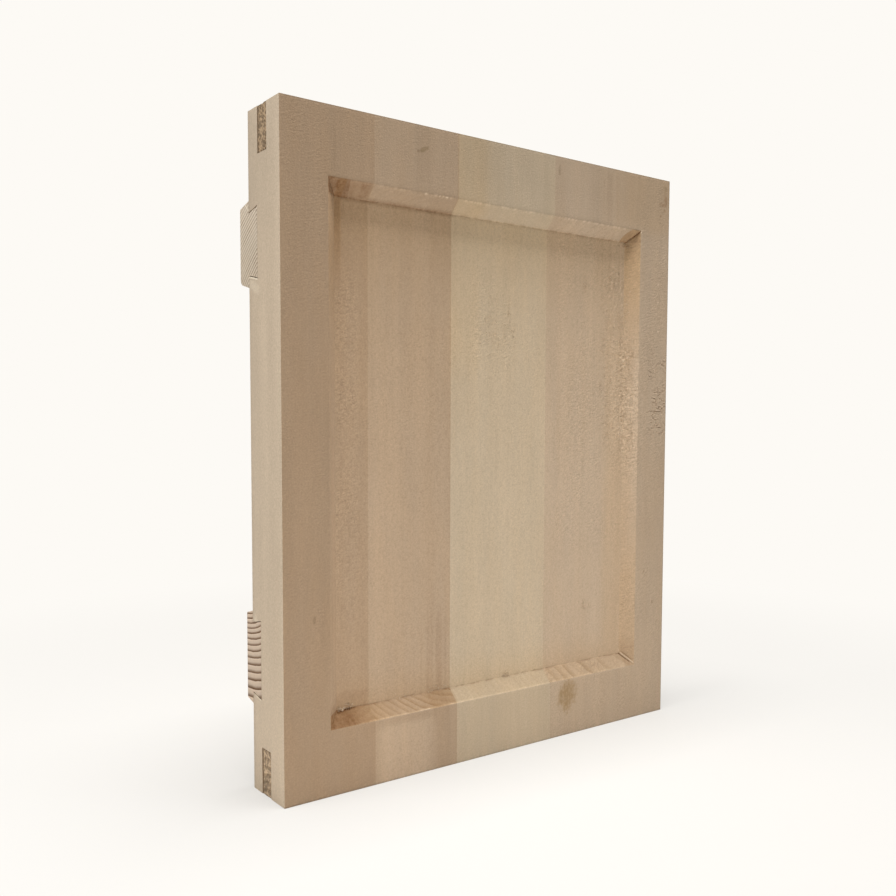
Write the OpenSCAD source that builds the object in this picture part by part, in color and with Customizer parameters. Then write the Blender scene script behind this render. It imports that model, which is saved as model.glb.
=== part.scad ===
// Recessed wooden panel board, standing upright with its sunk field to the front.
// Four staves are glued edge to edge, a hardwood spline is let into each end grain end,
// and two tapered battens are driven from opposite sides into dovetail grooves in the back.
// X runs to the right, Y to the back and Z up. The origin is under the middle of the board.

/* [Panel] */
// Width of the board, across the staves
panel_w = 240; // [200:1:320]
// Height of the board, along the grain
panel_h = 300; // [240:1:420]
// Thickness of the board
panel_t = 30; // [26:0.5:40]

/* [Staves] */
// Width of the stave at the left edge
left_stave_w = 46; // [34:0.5:58]
// Width of the stave left of the middle
inner_left_stave_w = 46.5; // [34:0.5:58]
// Width of the stave right of the middle
inner_right_stave_w = 61; // [48:0.5:74]

/* [Sunk field] */
// Width of the flat border down each side
side_border_w = 23; // [16:0.5:36]
// Height of the flat border across each end
end_border_h = 30; // [24:0.5:44]
// Depth of the field below the border
field_depth = 6; // [3:0.5:9]
// Width of the sloping edge round the field, seen from the front
bevel_w = 6; // [2:0.5:10]

/* [Splines] */
// Thickness of a spline
spline_t = 8.5; // [5:0.5:11]
// Height of the top spline, from the end of the board inwards
top_spline_h = 20; // [12:0.5:28]
// Height of the bottom spline, from the end of the board inwards
bottom_spline_h = 21; // [12:0.5:28]
// Wood in front of the top spline
top_spline_setback = 12; // [9:0.25:15]
// Wood in front of the bottom spline
bottom_spline_setback = 12.75; // [9:0.25:15]
// Glue line on each cheek of a spline
glue_line = 0.1; // [0.05:0.05:0.3]

/* [Battens] */
// Width of the dovetail's neck at the batten's narrow end
neck_w = 27; // [20:0.5:36]
// How much wider a batten is at its wide end
batten_taper = 4.5; // [1:0.25:6]
// Depth of a dovetail groove in the back of the board
groove_depth = 8.5; // [5:0.5:11]
// Slope of the dovetail's flanks, in degrees
dovetail_angle = 12; // [6:1:18]
// Width of the shoulder beside the neck, which bears on the back of the board
shoulder_w = 5.4; // [3:0.1:8]
// Lean of a batten's outer sides, in degrees
side_lean = 15; // [4:1:20]
// How far the upper batten stands out of the back
upper_batten_proud = 9; // [5:0.5:14]
// How far the lower batten stands out of the back
lower_batten_proud = 6; // [4:0.5:14]
// Easing of a batten's outer edges
batten_edge_r = 0.6; // [0.3:0.1:2]
// Rounding of the upper batten's lower outer edge
round_edge_r = 3; // [1:0.1:4]
// Distance from the top of the board to the middle of the upper batten
upper_batten_drop = 57; // [45:1:80]
// Distance from the bottom of the board to the middle of the lower batten
lower_batten_rise = 60; // [45:1:80]
// Sliding clearance between a dovetail and its groove
dovetail_clearance = 0.25; // [0.1:0.05:0.5]

/* [Hidden] */
$fn = 48;

// How far a cutter runs past the surface that it opens
cut_past = 2;
// How far a rounding's circle stands over the flat faces beside it, so that they meet in a clean edge
round_overlap = 0.01;

// Board faces, with the origin under the middle of the whole depth
overall_depth = panel_t + max(upper_batten_proud, lower_batten_proud);
front_y = -overall_depth / 2;
back_y = front_y + panel_t;
left_x = -panel_w / 2;

// Stave edges from left to right
joint_1_x = left_x + left_stave_w;
joint_2_x = joint_1_x + inner_left_stave_w;
joint_3_x = joint_2_x + inner_right_stave_w;
right_stave_w = panel_w / 2 - joint_3_x;

// Battens: taper about the centre line, and the neck half way along
taper_angle = atan(batten_taper / 2 / panel_w);
mid_neck_w = neck_w + batten_taper / 2;
upper_batten_z = panel_h - upper_batten_drop;
lower_batten_z = lower_batten_rise;
prism_length = panel_w + 4 * cut_past;

// A prism along X from a profile drawn with Y to the right and Z up
module along_x(length) {
    rotate([90, 0, 90])
        linear_extrude(length, center = true)
            children();
}

// One trapezoid of the field's cutter: half widths at the border and at the floor
module field_profile(border_half, floor_half) {
    spread = cut_past * bevel_w / field_depth;
    polygon([
        [-border_half - spread, -cut_past],
        [border_half + spread, -cut_past],
        [floor_half, field_depth],
        [-floor_half, field_depth]
    ]);
}

// The sunk field, whose four sloping edges meet in mitres
module field_cut() {
    half_w = panel_w / 2 - side_border_w;
    half_h = panel_h / 2 - end_border_h;
    translate([0, front_y, panel_h / 2])
        intersection() {
            linear_extrude(panel_h, center = true)
                field_profile(half_w, half_w - bevel_w);
            rotate([0, 90, 0])
                linear_extrude(panel_w, center = true)
                    field_profile(half_h, half_h - bevel_w);
        }
}

// The slot for a spline, open at the end of the board that lies at z = 0
module spline_slot(setback, height) {
    translate([left_x - cut_past, front_y + setback - glue_line, -cut_past])
        cube([panel_w + 2 * cut_past, spline_t + 2 * glue_line, height + cut_past]);
}

// Everything that is turned end for end about the middle of the board's height
module at_top() {
    translate([0, 0, panel_h])
        mirror([0, 0, 1])
            children();
}

// What is rounded off a batten's outer edge, about the centre of the rounding
module outer_edge_waste(edge_r) {
    reach = 2 * edge_r;
    difference() {
        polygon([
            [0, 0],
            [reach * sin(side_lean), reach * cos(side_lean)],
            [reach, reach],
            [reach, 0]
        ]);
        circle(edge_r);
    }
}

// One side of a batten's section: tongue, neck, shoulder and rounded outer edge.
// Y is measured out of the back of the board, Z up from the batten's centre line.
module batten_profile(proud, edge_r) {
    tongue = groove_depth - dovetail_clearance;
    neck = mid_neck_w / 2;
    shoulder = neck + shoulder_w;
    far_side = -mid_neck_w;
    inset = edge_r - round_overlap;
    round_y = proud - inset;
    round_z = shoulder - round_y * tan(side_lean) - inset / cos(side_lean);
    difference() {
        polygon([
            [-tongue, far_side],
            [-tongue, neck + tongue * tan(dovetail_angle)],
            [0, neck],
            [0, shoulder],
            [proud, shoulder - proud * tan(side_lean)],
            [proud, far_side]
        ]);
        translate([round_y, round_z])
            outer_edge_waste(edge_r);
    }
}

// One side of the groove's section, wider than the tongue by the sliding clearance
module groove_profile() {
    mouth = mid_neck_w / 2 + dovetail_clearance / cos(dovetail_angle);
    far_side = -mid_neck_w;
    polygon([
        [-groove_depth, far_side],
        [-groove_depth, mouth + groove_depth * tan(dovetail_angle)],
        [0, mouth],
        [cut_past, mouth],
        [cut_past, far_side]
    ]);
}

// A bar that widens towards +X: its first profile bounds it above, its second, mirrored, below
module tapered_bar() {
    intersection() {
        rotate([0, -taper_angle, 0])
            along_x(prism_length)
                children(0);
        mirror([0, 0, 1])
            rotate([0, -taper_angle, 0])
                along_x(prism_length)
                    children(1);
    }
}

// The groove for a batten, past both sides of the board
module batten_groove() {
    tapered_bar() {
        groove_profile();
        groove_profile();
    }
}

// A batten at the origin, cut off flush with both sides of the board
module batten(proud, top_edge_r, bottom_edge_r) {
    intersection() {
        tapered_bar() {
            batten_profile(proud, top_edge_r);
            batten_profile(proud, bottom_edge_r);
        }
        cube([panel_w, 2 * panel_t, panel_h], center = true);
    }
}

// Places for the battens: the upper one widens to the right, the lower one to the left
module at_upper_batten() {
    translate([0, back_y, upper_batten_z])
        children();
}

module at_lower_batten() {
    translate([0, back_y, lower_batten_z])
        mirror([1, 0, 0])
            children();
}

// A stave of the board, with its share of the field, the spline slots and the grooves
module stave(stave_left_x, stave_w) {
    difference() {
        translate([stave_left_x, front_y, 0])
            cube([stave_w, panel_t, panel_h]);
        field_cut();
        spline_slot(bottom_spline_setback, bottom_spline_h);
        at_top()
            spline_slot(top_spline_setback, top_spline_h);
        at_upper_batten()
            batten_groove();
        at_lower_batten()
            batten_groove();
    }
}

// A spline on the floor of the slot in the end that lies at z = 0
module spline(setback, height) {
    translate([left_x, front_y + setback, 0])
        cube([panel_w, spline_t, height]);
}

module left_stave() {
    color("#c5a582")
        stave(left_x, left_stave_w);
}

module inner_left_stave() {
    color("#cbae8c")
        stave(joint_1_x, inner_left_stave_w);
}

module inner_right_stave() {
    color("#d9c09b")
        stave(joint_2_x, inner_right_stave_w);
}

module right_stave() {
    color("#cdb292")
        stave(joint_3_x, right_stave_w);
}

module top_spline() {
    color("#8c7357")
        at_top()
            spline(top_spline_setback, top_spline_h);
}

module bottom_spline() {
    color("#8c7357")
        spline(bottom_spline_setback, bottom_spline_h);
}

module upper_batten() {
    color("#dcc6a4")
        at_upper_batten()
            batten(upper_batten_proud, batten_edge_r, round_edge_r);
}

module lower_batten() {
    color("#e0c3a0")
        at_lower_batten()
            batten(lower_batten_proud, batten_edge_r, batten_edge_r);
}

left_stave();
inner_left_stave();
inner_right_stave();
right_stave();
top_spline();
bottom_spline();
upper_batten();
lower_batten();
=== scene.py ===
# %% [markdown]
# # A wooden panel board with a sunk field
# The board is glued up from four limewood staves. A shallow field with sloping edges is sunk into its
# front, a strip of dark hardwood is let into each end, and two pine battens slide in dovetails across
# the back. The CAD model already has every piece at its real size, so this lesson only dresses it:
# it measures the pieces, gives each one a worked surface and finishes it as the wood it is made of.

# %% Load the frame
import math

import bmesh
import bpy
import numpy as np
from mathutils import Matrix, Vector


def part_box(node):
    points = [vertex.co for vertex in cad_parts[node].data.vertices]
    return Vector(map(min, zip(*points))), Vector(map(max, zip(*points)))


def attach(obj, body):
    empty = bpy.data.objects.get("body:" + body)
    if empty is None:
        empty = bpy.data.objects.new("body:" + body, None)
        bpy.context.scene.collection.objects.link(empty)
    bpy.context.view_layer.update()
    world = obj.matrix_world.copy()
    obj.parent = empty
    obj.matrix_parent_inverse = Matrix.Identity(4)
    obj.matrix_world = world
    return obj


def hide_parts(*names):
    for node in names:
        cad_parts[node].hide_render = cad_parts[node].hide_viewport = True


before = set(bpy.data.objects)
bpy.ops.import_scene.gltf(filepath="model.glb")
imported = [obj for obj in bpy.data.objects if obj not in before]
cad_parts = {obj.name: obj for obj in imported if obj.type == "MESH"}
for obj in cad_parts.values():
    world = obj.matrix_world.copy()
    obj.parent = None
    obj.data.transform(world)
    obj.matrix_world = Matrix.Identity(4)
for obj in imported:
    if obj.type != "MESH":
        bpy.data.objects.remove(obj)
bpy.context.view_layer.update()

MM = 0.001

# %% [markdown]
# The sizes of the board come from the corners of the CAD nodes. The left stave has just four corner
# positions across: the board's edge, the inner edge of the border, the edge of the field's floor and
# the first glue joint. All later work on the front is done in millimetres, from the lower left corner.

# %% Measure the board
TOUCH = 0.01 * MM


def corner_levels(node, axis, depth=None):
    """Sorted corner positions of a node along an axis, of all corners or of those at one depth."""
    corners = [v.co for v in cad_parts[node].data.vertices]
    if depth is not None:
        corners = [c for c in corners if abs(c.y - depth) < TOUCH]
    return sorted({round(c[axis] / MM, 3) for c in corners})


STAVES = ("left_stave", "inner_left_stave", "inner_right_stave", "right_stave")
front_y, floor_y = (level * MM for level in corner_levels("left_stave", 1)[:2])
back_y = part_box("left_stave")[1].y
front_mm = front_y / MM
left_x, border_x, floor_x = corner_levels("left_stave", 0)[:3]
end_border = corner_levels("inner_left_stave", 2, front_y)[1]
board_w = (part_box("right_stave")[1].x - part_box("left_stave")[0].x) / MM
board_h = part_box("left_stave")[1].z / MM
side_border = border_x - left_x
bevel_w = floor_x - border_x
field_depth = (floor_y - front_y) / MM
joints = [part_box(name)[1].x / MM - left_x for name in STAVES[:3]]
field_l, field_r = side_border, board_w - side_border
field_b, field_t = end_border, board_h - end_border
floor_l, floor_r = field_l + bevel_w, field_r - bevel_w
floor_b, floor_t = field_b + bevel_w, field_t - bevel_w
print(f"board {board_w:.1f} x {board_h:.1f} mm, borders {side_border:.1f} and {end_border:.1f} mm,")
print(f"field {field_depth:.1f} mm deep, bevel {bevel_w:.1f} mm wide, joints at {joints}")

# %% [markdown]
# The camera stands where the photographer stood: to the left of the board, about half a metre away
# and at half its height. A camera that looks level keeps upright edges upright. This one looks down by
# less than four degrees, and a small vertical shift of the lens does the rest of the framing.

# %% Camera
PICTURE_SIDE = 896
FOCAL_LENGTH = 951.7
HORIZON_DROP = 33.5
SENSOR_WIDTH = 36
NEAR_CLIP = 0.01
camera_place = Vector((-300.84, -361.34, 166.67)) * MM + Vector((0, front_y, 0))
camera_forward = Vector((0.59370, 0.80210, -0.06442))
camera_up = Vector((0.03577, 0.05367, 0.99792))

camera_data = bpy.data.cameras.new("camera")
camera_data.sensor_width = SENSOR_WIDTH
camera_data.lens = SENSOR_WIDTH * FOCAL_LENGTH / PICTURE_SIDE
camera_data.shift_y = HORIZON_DROP / PICTURE_SIDE
camera_data.clip_start = NEAR_CLIP
camera = bpy.data.objects.new("camera", camera_data)
bpy.context.scene.collection.objects.link(camera)
back_axis = -camera_forward.normalized()
right_axis = camera_up.cross(back_axis).normalized()
up_axis = back_axis.cross(right_axis)
turn = Matrix((right_axis, up_axis, back_axis)).transposed().to_4x4()
camera.matrix_world = Matrix.Translation(camera_place) @ turn
bpy.context.scene.camera = camera
print(f"lens {camera_data.lens:.2f} mm, shift {camera_data.shift_y:.4f}")

# %% [markdown]
# Shader nodes are easier to read as formulas. These few helpers each add one node and hand back its
# output, so that a finish can be written as sums and products of patterns.

# %% Helpers for numbers and vectors
def feed(tree, socket, value):
    """Links an input socket to another node's output, or sets its own value."""
    if isinstance(value, bpy.types.NodeSocket):
        tree.links.new(value, socket)
    else:
        socket.default_value = value


def add(tree, kind, inputs, **settings):
    """Adds a node of a kind with its settings, and feeds its inputs, given by name or number."""
    node = tree.nodes.new(kind)
    for name, setting in settings.items():
        setattr(node, name, setting)
    for name, value in inputs.items():
        feed(tree, node.inputs[name], value)
    return node


def calc(tree, operation, *values):
    """One Math node."""
    return add(tree, "ShaderNodeMath", dict(enumerate(values)), operation=operation).outputs["Value"]


def total(tree, *terms):
    """The sum of numbers and outputs."""
    result = terms[0]
    for term in terms[1:]:
        result = calc(tree, "ADD", result, term)
    return result


def product(tree, *factors):
    """The product of numbers and outputs."""
    result = factors[0]
    for factor in factors[1:]:
        result = calc(tree, "MULTIPLY", result, factor)
    return result


def vector(tree, operation, first, second):
    """One Vector Math node, whose second value may be a vector or, for SCALE, a number."""
    place = "Scale" if operation == "SCALE" else 1
    node = add(tree, "ShaderNodeVectorMath", {0: first, place: second}, operation=operation)
    return node.outputs["Value" if operation in ("LENGTH", "DOT_PRODUCT") else "Vector"]


def combine(tree, *values):
    """A vector from three numbers or outputs."""
    return add(tree, "ShaderNodeCombineXYZ", dict(enumerate(values))).outputs[0]


def separate(tree, value):
    """The three parts of a vector."""
    return add(tree, "ShaderNodeSeparateXYZ", {0: value}).outputs


print("helpers for numbers and vectors ready")

# %% [markdown]
# The other helpers make patterns and tones: a number that follows another one, a mixed colour, and noise
# whose cells have a size in millimetres, longer along the fibres than across them.

# %% Helpers for patterns
def change(tree, value, low, high, at_low=0.0, at_high=1.0, even=False):
    """A number that goes from one value to another while its source goes from low to high, held beyond
    both, along a smooth curve or evenly."""
    inputs = {"From Min": low, "From Max": high, "To Min": at_low, "To Max": at_high, "Value": value}
    curve = "LINEAR" if even else "SMOOTHSTEP"
    return add(tree, "ShaderNodeMapRange", inputs, interpolation_type=curve, clamp=True).outputs["Result"]


def mix(tree, share, first, second):
    """A colour between two others."""
    return add(tree, "ShaderNodeMix", {0: share, 6: first, 7: second}, data_type="RGBA").outputs[2]


def cloud(tree, place, size, detail=2.0, output="Fac"):
    """Noise with cells of the given size in millimetres along each axis."""
    cells = vector(tree, "DIVIDE", place, size)
    return add(tree, "ShaderNodeTexNoise", {"Scale": 1.0, "Detail": detail, "Vector": cells}).outputs[output]


def swing(tree, pattern, amount):
    """A noise pattern as a swing about zero."""
    return calc(tree, "MULTIPLY_ADD", pattern, amount, -amount / 2)


print("helpers for patterns ready")

# %% [markdown]
# Every piece here is raw wood, so one recipe makes all the finishes. Wood is a solid: its growth rings
# are tubes round a pith that usually lies outside the piece, and a face shows stripes, arches or arcs
# depending on how it cuts them. So the recipe measures the distance from a pith line, in object
# coordinates, and never wraps a picture round the piece.

# %% Growth rings
AXES = {"X": (1, 2, 0), "Z": (0, 1, 2)}
RING_PATCH = (9, 9, 90)
RING_DRIFT = (38, 38, 240)
RING_WOBBLE = (7, 7, 24)
PATCH_RANGE = (0.38, 0.6)
BAND_SOFT = 1.5
LATE_FULL, LATE_END = 0.93, 0.96
PALE_UNTIL = 0.35
PLAIN_RINGS = {
    "wander": 2.0, "first": 0.0, "width": 2.0, "growth": 0.0, "late_from": 0.4, "fade": 0.0, "vary": 0.0,
    "wobble": 0.0, "strong": (), "weak": 1.0, "end_dark": 0.0, "other_way": 1.0, "glow": 0.0}


def find_spot(tree, along):
    """Where a point of a piece lies: its place in millimetres and its normal, in object axes, and its
    place in the grain, two values across the fibres and the third along them."""
    source = add(tree, "ShaderNodeTexCoord", {})
    point = vector(tree, "SCALE", source.outputs["Object"], 1 / MM)
    place = separate(tree, point)
    normal = separate(tree, source.outputs["Normal"])
    grain = combine(tree, *(place[axis] for axis in AXES[along]))
    return {"point": point, "place": place, "normal": normal, "grain": grain}


def growth_rings(tree, grain, pith, rings):
    """Latewood lines and the pale wood after them, both from 0 to 1, round a pith. Rings start at a first
    radius with a width in millimetres, may grow wider, fade in patches, vary from year to year and be
    strong only in some bands of radius."""
    drift = vector(tree, "SUBTRACT", cloud(tree, grain, RING_DRIFT, 2, "Color"), (0.5, 0.5, 0.5))
    bend = vector(tree, "MULTIPLY", drift, (rings["wander"], rings["wander"], 0))
    radial = vector(tree, "SUBTRACT", vector(tree, "ADD", grain, bend), (*pith, 0))
    radius = vector(tree, "LENGTH", vector(tree, "MULTIPLY", radial, (1, 1, 0)), (0, 0, 0))
    if rings["wobble"]:
        radius = total(tree, radius, swing(tree, cloud(tree, grain, RING_WOBBLE, 3), rings["wobble"]))
    age = calc(tree, "DIVIDE", calc(tree, "SUBTRACT", radius, rings["first"]), rings["width"])
    if rings["growth"]:
        widened = calc(tree, "MAXIMUM", calc(tree, "MULTIPLY_ADD", age, rings["growth"], 1.0), 0.01)
        age = calc(tree, "DIVIDE", calc(tree, "LOGARITHM", widened, math.e), rings["growth"])
    season = calc(tree, "FRACT", age)
    strength = change(tree, cloud(tree, grain, RING_PATCH, 2), *PATCH_RANGE, 1.0 - rings["fade"], 1.0)
    if rings["vary"]:
        luck = add(tree, "ShaderNodeTexWhiteNoise", {}, noise_dimensions="1D")
        feed(tree, luck.inputs["W"], calc(tree, "FLOOR", age))
        year = calc(tree, "MULTIPLY_ADD", luck.outputs["Value"], -rings["vary"], 1.0)
        strength = product(tree, strength, year)
    if rings["strong"]:
        bands = [product(tree, change(tree, radius, low - BAND_SOFT, low),
                         change(tree, radius, high, high + BAND_SOFT, 1, 0))
                 for low, high in rings["strong"]]
        share = calc(tree, "MULTIPLY_ADD", total(tree, *bands), 1 - rings["weak"], rings["weak"])
        strength = product(tree, strength, share)
    rise = change(tree, season, rings["late_from"], LATE_FULL)
    late = product(tree, rise, change(tree, season, LATE_END, 1.0, 1.0, 0.0), strength)
    return late, product(tree, change(tree, season, 0.0, PALE_UNTIL, 1.0, 0.0), strength)


print("rings ready, with settings", ", ".join(PLAIN_RINGS))

# %% [markdown]
# A finish puts the rings on the wood's own colour, more strongly on faces that cut across the fibres,
# which the object's own normal tells. Layers then paint what happened to the piece: knots, dirt, marks
# of tools. Last, fine noise in cells of about a millimetre gives tone and a little relief to all of it.

# %% The wood recipe
HUE_CELL = (9, 9, 48)
HUE_RANGE = (0.3, 0.7)
COOL_TINT = (0.992, 1.0, 1.01, 1)
WARM_TINT = (1.008, 1.0, 0.987, 1)
END_GRAIN_RANGE = (0.25, 0.95)
RING_RELIEF = 0.5
RELIEF_RANGE = (0.2, 1.2)
ROUGHNESS_RANGE = (0.55, 0.75)
SHEEN = 0.2
BUMP_STRENGTH = 0.5
BUMP_DEPTH = 0.1


def wood(name, along, pith, rings, light, dark, contrast, grain, layers=()):
    """A raw wood finish. contrast is the rings' strength on long grain and on end grain, grain lists the
    fine patterns as cell size, swing of tone and relief, and each layer changes colour and height."""
    material = bpy.data.materials.new(name)
    material.use_nodes = True
    tree = material.node_tree
    shader = tree.nodes["Principled BSDF"]
    spot = find_spot(tree, along)
    rings = {**PLAIN_RINGS, **rings}
    facing = spot["normal"][AXES[along][2]]
    end_grain = calc(tree, "MAXIMUM", facing, calc(tree, "MULTIPLY", facing, -rings["other_way"]))
    end_grain = change(tree, end_grain, *END_GRAIN_RANGE)
    late, early = growth_rings(tree, spot["grain"], pith, rings)
    strength = calc(tree, "MULTIPLY_ADD", end_grain, contrast[1] - contrast[0], contrast[0])
    ring_share = product(tree, late, strength)
    colour = mix(tree, ring_share, (*light, 1), (*dark, 1))
    tint = change(tree, cloud(tree, spot["grain"], HUE_CELL, 3), *HUE_RANGE)
    colour = vector(tree, "MULTIPLY", colour, mix(tree, tint, COOL_TINT, WARM_TINT))
    shade = calc(tree, "MULTIPLY_ADD", end_grain, -rings["end_dark"], 1.0)
    if rings["glow"]:
        shade = total(tree, shade, product(tree, early, end_grain, rings["glow"]))
    colour = vector(tree, "SCALE", colour, shade)
    height = calc(tree, "MULTIPLY", ring_share, RING_RELIEF)
    for layer in layers:
        colour, height = layer(tree, spot, colour, height)
    level = 1.0
    for size, amount, relief in grain:
        pattern = cloud(tree, spot["grain"], size, 2)
        level = total(tree, level, swing(tree, pattern, amount))
        height = total(tree, height, calc(tree, "MULTIPLY", pattern, relief))
    feed(tree, shader.inputs["Base Color"], vector(tree, "SCALE", colour, level))
    feed(tree, shader.inputs["Roughness"], change(tree, height, *RELIEF_RANGE, *ROUGHNESS_RANGE))
    feed(tree, shader.inputs["Specular IOR Level"], SHEEN)
    relief = {"Strength": BUMP_STRENGTH, "Distance": BUMP_DEPTH * MM, "Height": height}
    feed(tree, shader.inputs["Normal"], add(tree, "ShaderNodeBump", relief).outputs["Normal"])
    return material


print("recipe ready")

# %% [markdown]
# The layers of a stave's finish. A stave is a little lighter or darker from side to side, and painted shade
# makes it darker towards the top, where less light comes up from the table. Its knots are only as deep as a
# finger is wide. Each layer is a function that takes the colour and the height so far and hands both on.

# %% Layers of the staves
KNOT_HEART = (0.13, 0.08, 0.032)
KNOT_EDGE_CELL = (1.8, 1.8, 2.4)
KNOT_STREAK_CELL = (1.5, 1.5, 3.5)
KNOT_EDGE = (0.45, 1.25)
KNOT_DEPTH = (8, 12)
SHADE_TOP = 15


def board_place(tree, spot):
    """Board millimetres across, back from the front, and up."""
    across, back, up = spot["place"]
    return calc(tree, "SUBTRACT", across, left_x), calc(tree, "SUBTRACT", back, front_mm), up


def shading(start, end, at_start, at_end, top_shade, reach=42):
    """An even tone across a stave, and painted shade that darkens it towards the top of the board."""
    def layer(tree, spot, colour, height):
        across, _, up = board_place(tree, spot)
        # The second factor is painted shade, darker towards the top of the board.
        tone = product(tree, change(tree, across, start, end, at_start, at_end, True),
                       change(tree, up, board_h - reach, board_h - SHADE_TOP, 1.0, top_shade, True))
        return vector(tree, "SCALE", colour, tone), height
    return layer


def knots(*places):
    """Small knots and dark strokes on the front of a stave."""
    def layer(tree, spot, colour, height):
        for knot in places:
            colour = add_knot(tree, spot, colour, *knot)
        return colour, height
    return layer


def add_knot(tree, spot, colour, at, size, depth, turn=0.0, heart=KNOT_HEART):
    """One knot: its place, half sizes and turn on the board, how much it covers, and its colour."""
    across, back, up = board_place(tree, spot)
    right, above = calc(tree, "SUBTRACT", across, at[0]), calc(tree, "SUBTRACT", up, at[1])
    cosine, sine = math.cos(math.radians(turn)), math.sin(math.radians(turn))
    reach = []
    for share_right, share_up, half in ((cosine, sine, size[0]), (-sine, cosine, size[1])):
        offset = total(tree, product(tree, right, share_right), product(tree, above, share_up))
        reach.append(calc(tree, "POWER", calc(tree, "DIVIDE", offset, half), 2.0))
    ragged = swing(tree, cloud(tree, spot["grain"], KNOT_EDGE_CELL, 3), 1.5)
    streaks = change(tree, cloud(tree, spot["grain"], KNOT_STREAK_CELL, 2), 0.35, 0.6, 0.55, 1.0)
    distance = total(tree, calc(tree, "SQRT", total(tree, *reach)), ragged)
    near_front = change(tree, back, *KNOT_DEPTH, 1.0, 0.0)
    cover = product(tree, streaks, near_front, change(tree, distance, *KNOT_EDGE, depth, 0.0))
    return mix(tree, cover, colour, (*heart, 1))


print("tones and knots ready")

# %% [markdown]
# A thin, uneven dark line runs along the outer edges of the front. The board's two sides are paler and
# greyer than the front, they have got dirty only along the back, and painted shade darkens them towards
# the top while painted light brightens them near the bottom.

# %% Edge lines and sides
EDGE_DARKNESS = {"top": 0.28, "bottom": 0.25, "right": 0.2}
EDGE_LINE_CELL = (1.5, 1.5, 1.5)
EDGE_LINE_REACH = (0.1, 1.0)
EDGE_LINE_DEPTH = (0.15, 0.6)
SIDE_COLOUR = (0.50, 0.41, 0.312, 1)
SIDE_EDGE_CELL = (2.0, 2.0, 14)
SIDE_GRAIN_CELL = (0.9, 0.9, 1.0)


def dark_edge_line(tree, spot, colour, height):
    """A thin, uneven dark line on the front along its top, bottom and right edges."""
    across, back, up = board_place(tree, spot)
    ragged = swing(tree, cloud(tree, spot["grain"], EDGE_LINE_CELL, 2), 1.0)
    edges = {"top": calc(tree, "SUBTRACT", board_h, up), "bottom": up,
             "right": calc(tree, "SUBTRACT", board_w, across)}
    lines = [change(tree, total(tree, distance, ragged), *EDGE_LINE_REACH, EDGE_DARKNESS[edge], 0.0)
             for edge, distance in edges.items()]
    cover = product(tree, total(tree, *lines), change(tree, back, *EDGE_LINE_DEPTH, 1.0, 0.0))
    return vector(tree, "SCALE", colour, calc(tree, "SUBTRACT", 1.0, cover)), height


def pale_side(tree, spot, colour, height):
    """The paler wood of the board's two sides, dirtier along the back edge, with painted shade and light."""
    _, back, up = board_place(tree, spot)
    ragged = swing(tree, cloud(tree, spot["grain"], SIDE_EDGE_CELL, 2), 3.0)
    dirty_edge = change(tree, total(tree, back, ragged), 26.5, 29.5, 1.0, 0.92)
    to_back = change(tree, back, 6, 26, 1.01, 0.965, True)
    # Painted shade towards the top of the side, and painted light near its bottom.
    side_top_shade = change(tree, up, 225, 300, 1.0, 0.95, True)
    side_bottom_light = change(tree, up, 20, 80, 1.06, 1.0, True)
    fine = total(tree, 1.0, swing(tree, cloud(tree, spot["grain"], SIDE_GRAIN_CELL, 2), 0.3))
    tone = product(tree, dirty_edge, to_back, side_top_shade, side_bottom_light, fine)
    share = change(tree, calc(tree, "ABSOLUTE", spot["normal"][0]), 0.8, 0.95)
    return mix(tree, share, colour, vector(tree, "SCALE", SIDE_COLOUR[:3], tone)), height


print("dirt and sides ready")

# %% [markdown]
# The front carries the marks of its making. The cutter scorched the corners of the field where it
# turned, tore pale fibres from the slopes and left a slit where a chisel went too deep. The marks are
# worked out once for each point of the front's mesh and kept as a colour attribute: red holds the burns
# and the painted shade in slits, cracks and tears, green holds freshly torn wood and painted highlights,
# blue a warmer tint and alpha the raised grain where the scraper lifted the fibres into fine ripples.
# This layer of the finish then reads that attribute.

# %% Marks on limewood
WARM_GAIN = (1.03, 0.93, 0.77)
FRESH_GAIN = (1.48, 1.54, 1.62)
BURNT_AND_SHADED_WOOD = (0.17, 0.071, 0.021, 1)
BARE_WOOD = (0.72, 0.60, 0.45, 1)
BARE_RANGE = (0.62, 0.92)
RIPPLE_LEAN = 0.35
RIPPLE_CELL = (2.6, 1.0, 1.0)
FUZZ_CELL = (0.75, 0.75, 0.8)
SPECKLE_CELL = (1.0, 1.0, 1.3)
RUFFLE_LIMIT = 1.1


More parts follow.
